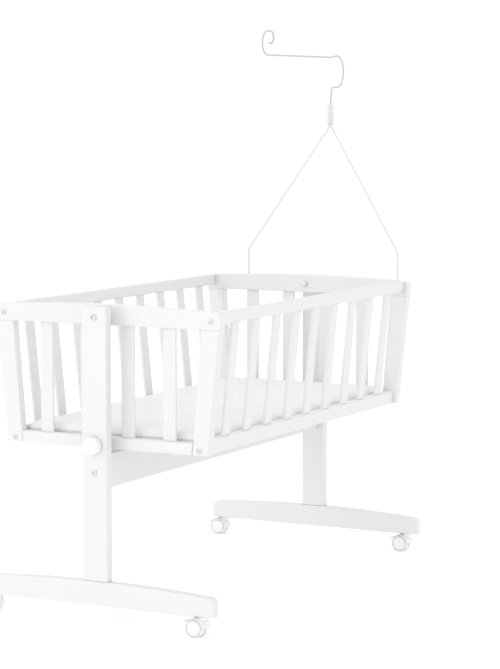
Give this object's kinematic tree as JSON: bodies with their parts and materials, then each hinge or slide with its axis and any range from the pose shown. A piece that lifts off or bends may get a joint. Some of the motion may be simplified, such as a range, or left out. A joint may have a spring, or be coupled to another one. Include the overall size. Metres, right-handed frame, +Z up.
{
  "type": "bassinet on stand",
  "caption": "White wooden swinging cradle with slatted sides, hung between two posts on a castored stand, with a mattress and a bent-wire canopy holder.",
  "frame": {"origin": "on the floor under the middle of the crib", "axes": "+X along the crib to the end with the canopy holder, +Y to the left side, +Z up"},
  "size_m": [1.0874, 0.5715, 1.2384],
  "materials": {
    "frame_paint": "wood with opaque white satin paint",
    "board_paint": "white-faced hardboard",
    "mattress_cover": "soft bluish-white woven cover",
    "white_plastic": "moulded white plastic",
    "grey_plastic": "translucent grey plastic tube",
    "bolt_metal": "zinc-plated steel",
    "wire_paint": "white-coated steel wire"
  },
  "bodies": {
    "stand": {"post_lock_end": "frame_paint", "floor_beam_lock_end": "frame_paint", "pivot_bolt_lock_end": "bolt_metal", "pivot_spacer_lock_end": "white_plastic", "stretcher_bolt_lock_end": "bolt_metal", "post_canopy_end": "frame_paint", "floor_beam_canopy_end": "frame_paint", "pivot_bolt_canopy_end": "bolt_metal", "pivot_spacer_canopy_end": "white_plastic", "stretcher_bolt_canopy_end": "bolt_metal", "stretcher": "frame_paint"},
    "lock_knob": {"lock_knob": "white_plastic"},
    "crib": {"end_lock_top_rail": "frame_paint", "end_lock_right_stile": "frame_paint", "end_lock_left_stile": "frame_paint", "end_lock_comb": "frame_paint", "end_canopy_top_rail": "frame_paint", "end_canopy_right_stile": "frame_paint", "end_canopy_left_stile": "frame_paint", "end_canopy_comb": "frame_paint", "side_right_bottom_rail": "frame_paint", "side_right_top_rail": "frame_paint", "side_right_slat_1": "frame_paint", "side_right_slat_2": "frame_paint", "side_right_slat_3": "frame_paint", "side_right_slat_4": "frame_paint", "side_right_slat_5": "frame_paint", "side_right_slat_6": "frame_paint", "side_right_slat_7": "frame_paint", "side_right_slat_8": "frame_paint", "side_right_slat_9": "frame_paint", "side_left_bottom_rail": "frame_paint", "side_left_top_rail": "frame_paint", "side_left_slat_1": "frame_paint", "side_left_slat_2": "frame_paint", "side_left_slat_3": "frame_paint", "side_left_slat_4": "frame_paint", "side_left_slat_5": "frame_paint", "side_left_slat_6": "frame_paint", "side_left_slat_7": "frame_paint", "side_left_slat_8": "frame_paint", "side_left_slat_9": "frame_paint", "base_board": "board_paint", "canopy_fork": "wire_paint", "canopy_sleeve": "grey_plastic"},
    "mattress": {"mattress": "mattress_cover"},
    "canopy_hook": {"canopy_hook": "wire_paint"},
    "caster_lock_right": {"caster_lock_right_fork": "white_plastic"},
    "caster_lock_right_wheels": {"caster_lock_right_wheels": "white_plastic"},
    "caster_lock_right_brake": {"caster_lock_right_brake": "white_plastic"},
    "caster_lock_left": {"caster_lock_left_fork": "white_plastic"},
    "caster_lock_left_wheels": {"caster_lock_left_wheels": "white_plastic"},
    "caster_lock_left_brake": {"caster_lock_left_brake": "white_plastic"},
    "caster_canopy_right": {"caster_canopy_right_fork": "white_plastic"},
    "caster_canopy_right_wheels": {"caster_canopy_right_wheels": "white_plastic"},
    "caster_canopy_right_brake": {"caster_canopy_right_brake": "white_plastic"},
    "caster_canopy_left": {"caster_canopy_left_fork": "white_plastic"},
    "caster_canopy_left_wheels": {"caster_canopy_left_wheels": "white_plastic"},
    "caster_canopy_left_brake": {"caster_canopy_left_brake": "white_plastic"}
  },
  "joints": [
    {"name": "crib_swing", "type": "hinge", "parent": "stand", "child": "crib", "pos_m": [0, 0, 0.64], "axis": [1, 0, 0], "range_deg": [-10, 10]},
    {"name": "lock_knob_pull", "type": "slide", "parent": "stand", "child": "lock_knob", "axis": [-1, 0, 0], "range_m": [0, 0.012]},
    {"name": "mattress_lift", "type": "slide", "parent": "crib", "child": "mattress", "axis": [0, 0, 1], "range_m": [0, 0.35]},
    {"name": "canopy_hook_turn", "type": "hinge", "parent": "crib", "child": "canopy_hook", "pos_m": [0.469, -0.061, 1.06], "axis": [0, 0, 1], "continuous": true},
    {"name": "caster_lock_right_swivel", "type": "hinge", "parent": "stand", "child": "caster_lock_right", "pos_m": [-0.514, -0.248, 0.0425], "axis": [0, 0, 1], "continuous": true},
    {"name": "caster_lock_right_roll", "type": "hinge", "parent": "caster_lock_right", "child": "caster_lock_right_wheels", "pos_m": [-0.514, -0.234, 0.019], "axis": [1, 0, 0], "continuous": true},
    {"name": "caster_lock_right_brake_press", "type": "hinge", "parent": "caster_lock_right", "child": "caster_lock_right_brake", "pos_m": [-0.514, -0.21416, 0.0314], "axis": [1, 0, 0], "range_deg": [-18, 0]},
    {"name": "caster_lock_left_swivel", "type": "hinge", "parent": "stand", "child": "caster_lock_left", "pos_m": [-0.514, 0.248, 0.0425], "axis": [0, 0, 1], "continuous": true},
    {"name": "caster_lock_left_roll", "type": "hinge", "parent": "caster_lock_left", "child": "caster_lock_left_wheels", "pos_m": [-0.514, 0.262, 0.019], "axis": [1, 0, 0], "continuous": true},
    {"name": "caster_lock_left_brake_press", "type": "hinge", "parent": "caster_lock_left", "child": "caster_lock_left_brake", "pos_m": [-0.514, 0.28184, 0.0314], "axis": [1, 0, 0], "range_deg": [-18, 0]},
    {"name": "caster_canopy_right_swivel", "type": "hinge", "parent": "stand", "child": "caster_canopy_right", "pos_m": [0.514, -0.248, 0.0425], "axis": [0, 0, 1], "continuous": true},
    {"name": "caster_canopy_right_roll", "type": "hinge", "parent": "caster_canopy_right", "child": "caster_canopy_right_wheels", "pos_m": [0.514, -0.234, 0.019], "axis": [1, 0, 0], "continuous": true},
    {"name": "caster_canopy_right_brake_press", "type": "hinge", "parent": "caster_canopy_right", "child": "caster_canopy_right_brake", "pos_m": [0.514, -0.21416, 0.0314], "axis": [1, 0, 0], "range_deg": [-18, 0]},
    {"name": "caster_canopy_left_swivel", "type": "hinge", "parent": "stand", "child": "caster_canopy_left", "pos_m": [0.514, 0.248, 0.0425], "axis": [0, 0, 1], "continuous": true},
    {"name": "caster_canopy_left_roll", "type": "hinge", "parent": "caster_canopy_left", "child": "caster_canopy_left_wheels", "pos_m": [0.514, 0.262, 0.019], "axis": [1, 0, 0], "continuous": true},
    {"name": "caster_canopy_left_brake_press", "type": "hinge", "parent": "caster_canopy_left", "child": "caster_canopy_left_brake", "pos_m": [0.514, 0.28184, 0.0314], "axis": [1, 0, 0], "range_deg": [-18, 0]}
  ]
}
